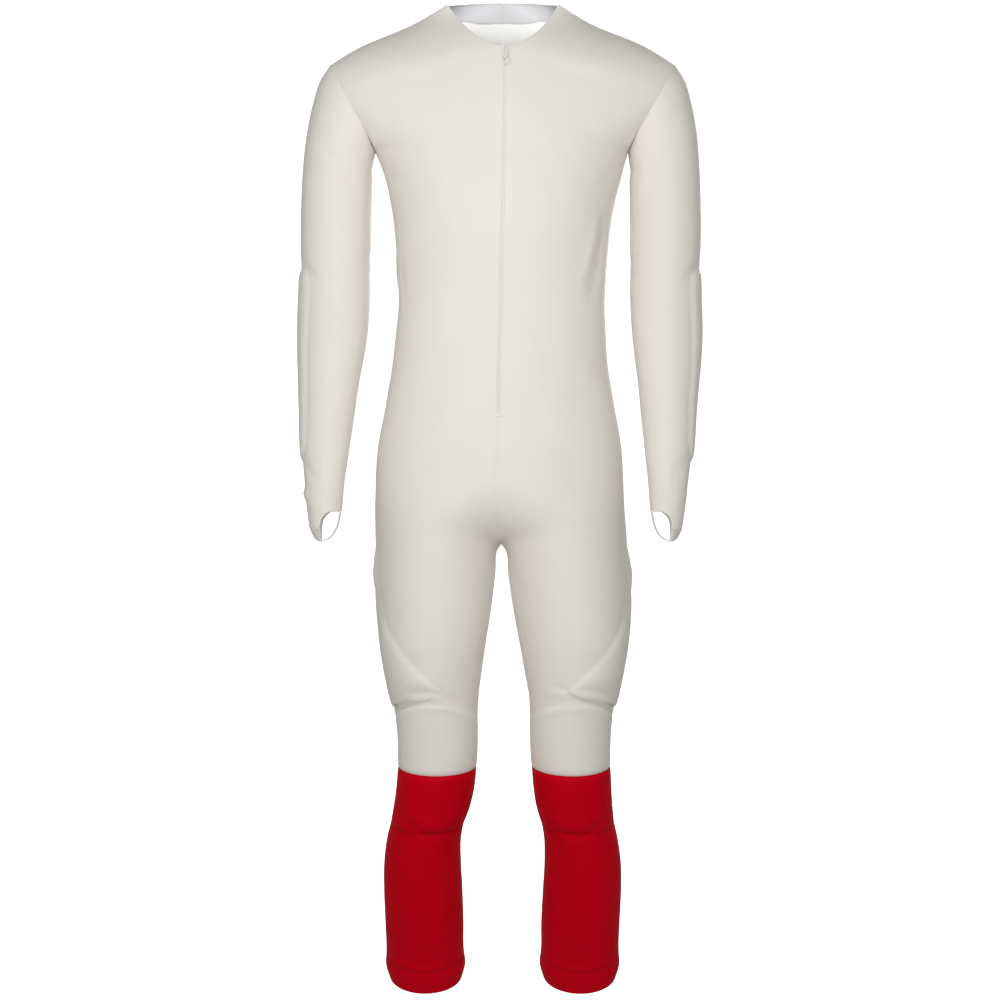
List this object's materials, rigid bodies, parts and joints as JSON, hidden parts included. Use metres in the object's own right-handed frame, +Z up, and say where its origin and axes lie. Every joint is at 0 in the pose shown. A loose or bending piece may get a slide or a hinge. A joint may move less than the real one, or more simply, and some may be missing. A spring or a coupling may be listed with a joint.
{
  "type": "padded ski race suit",
  "caption": "One-piece stretch race suit in its worn, hollow form: front zip with a hinged pull, hand loops, forearm, thigh and knee pads, and contrast lower legs.",
  "frame": {"origin": "between the shoulder seams, halfway down their slope, where the wearer's shoulders hold the suit", "axes": "+Z up the suit, -Y out of its front, +X across to the image's right when seen from the front"},
  "size_m": [0.5884, 0.239, 1.45],
  "materials": {
    "white_knit": "off-white warp-knit stretch cloth with a satin face",
    "red_knit": "red warp-knit stretch cloth with a satin face",
    "facing": "white smooth knit facing, matt",
    "zip_tape": "off-white woven zip tape over a moulded coil",
    "zip_plastic": "off-white painted slider and tab, semi-matt"
  },
  "bodies": {
    "suit": {"front_left": "white_knit", "front_right": "white_knit", "back_left": "white_knit", "back_right": "white_knit", "sleeve_left": "white_knit", "sleeve_right": "white_knit", "hand_loop_left": "white_knit", "hand_loop_right": "white_knit", "forearm_pad_left": "white_knit", "forearm_pad_right": "white_knit", "thigh_pad_left": "white_knit", "thigh_pad_right": "white_knit", "knee_white_left": "white_knit", "knee_white_right": "white_knit", "knee_red_left": "red_knit", "knee_red_right": "red_knit", "shin_left": "red_knit", "shin_right": "red_knit", "calf_left": "red_knit", "calf_right": "red_knit", "hem_band_left": "red_knit", "hem_band_right": "red_knit", "neck_facing_front_left": "facing", "neck_facing_front_right": "facing", "neck_facing_back_left": "facing", "neck_facing_back_right": "facing", "zip_chain": "zip_tape", "zip_slider": "zip_plastic", "zip_stop": "zip_plastic"},
    "pull_tab": {"pull_tab": "zip_plastic"}
  },
  "joints": [
    {"name": "tab_swing", "type": "hinge", "parent": "suit", "child": "pull_tab", "pos_m": [0.00483, -0.09558, -0.04388], "axis": [-1, 0, 0], "range_deg": [0, 160]}
  ]
}
